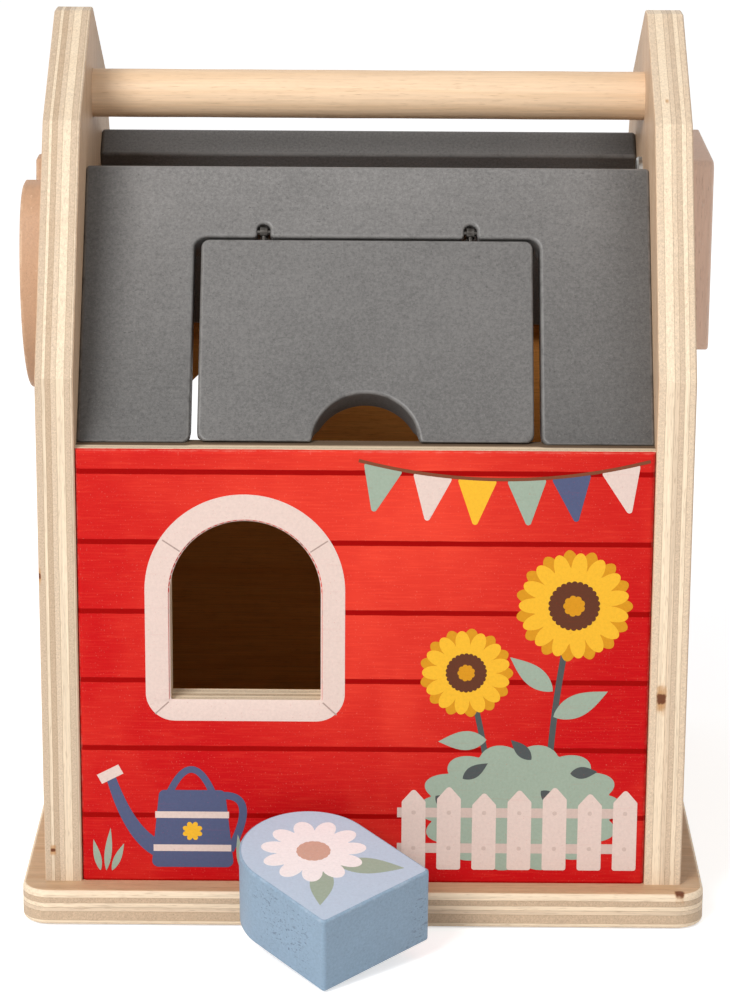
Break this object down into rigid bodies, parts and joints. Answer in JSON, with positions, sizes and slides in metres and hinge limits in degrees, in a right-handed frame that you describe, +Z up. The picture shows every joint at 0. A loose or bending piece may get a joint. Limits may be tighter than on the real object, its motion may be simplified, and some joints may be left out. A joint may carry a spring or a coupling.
{
  "type": "farm shape sorter",
  "caption": "Wooden barn shape sorter with gambrel sides, carrying handle, lift-up roof flap, arch window, turning disc, swing door and a loose arch block.",
  "frame": {"origin": "centre of the base plate's underside", "axes": "+X to the right as seen from the front, -Y out of the front wall with the arch window, +Z up"},
  "size_m": [0.169, 0.2044, 0.2109],
  "materials": {
    "plywood": "bare birch plywood with dark glue lines on the edges",
    "red_boards": "matt red print of level boards",
    "roof_grey": "matt grey paint with open pores",
    "dowel_wood": "bare round wood",
    "tan_paint": "matt paint",
    "pink_paint": "matt paint with open pores",
    "blue_paint": "matt paint",
    "steel": "zinc plated"
  },
  "bodies": {
    "house": {"base_plate": "plywood", "left_side_panel": "plywood", "right_side_panel": "plywood", "front_wall": "red_boards", "back_wall": "red_boards", "front_roof": "roof_grey", "back_roof": "roof_grey", "handle_bar": "dowel_wood", "hinge_pins": "steel", "front_wall_dowels": "dowel_wood", "back_wall_dowels": "dowel_wood", "front_roof_dowels": "dowel_wood", "back_roof_dowels": "dowel_wood", "base_screws": "steel"},
    "flap": {"roof_flap": "roof_grey", "hinge_eyes": "steel"},
    "disc": {"turning_disc": "tan_paint", "disc_bolt": "steel", "disc_washer": "steel"},
    "door": {"swing_door": "pink_paint", "door_bolt": "steel", "door_washer": "steel"},
    "block": {"arch_block": "blue_paint"}
  },
  "joints": [
    {"name": "flap_hinge", "type": "hinge", "parent": "house", "child": "flap", "pos_m": [0, -0.0342, 0.162], "axis": [-1, 0, 0], "range_deg": [0, 105]},
    {"name": "disc_turn", "type": "hinge", "parent": "house", "child": "disc", "pos_m": [-0.0815, 0, 0.1495], "axis": [-1, 0, 0], "continuous": true},
    {"name": "door_swing", "type": "hinge", "parent": "house", "child": "door", "pos_m": [0.0815, 0, 0.1707], "axis": [1, 0, 0], "continuous": true},
    {"name": "block_lift", "type": "slide", "parent": "house", "child": "block", "axis": [0, 0, 1], "range_m": [0, 0.08]}
  ]
}
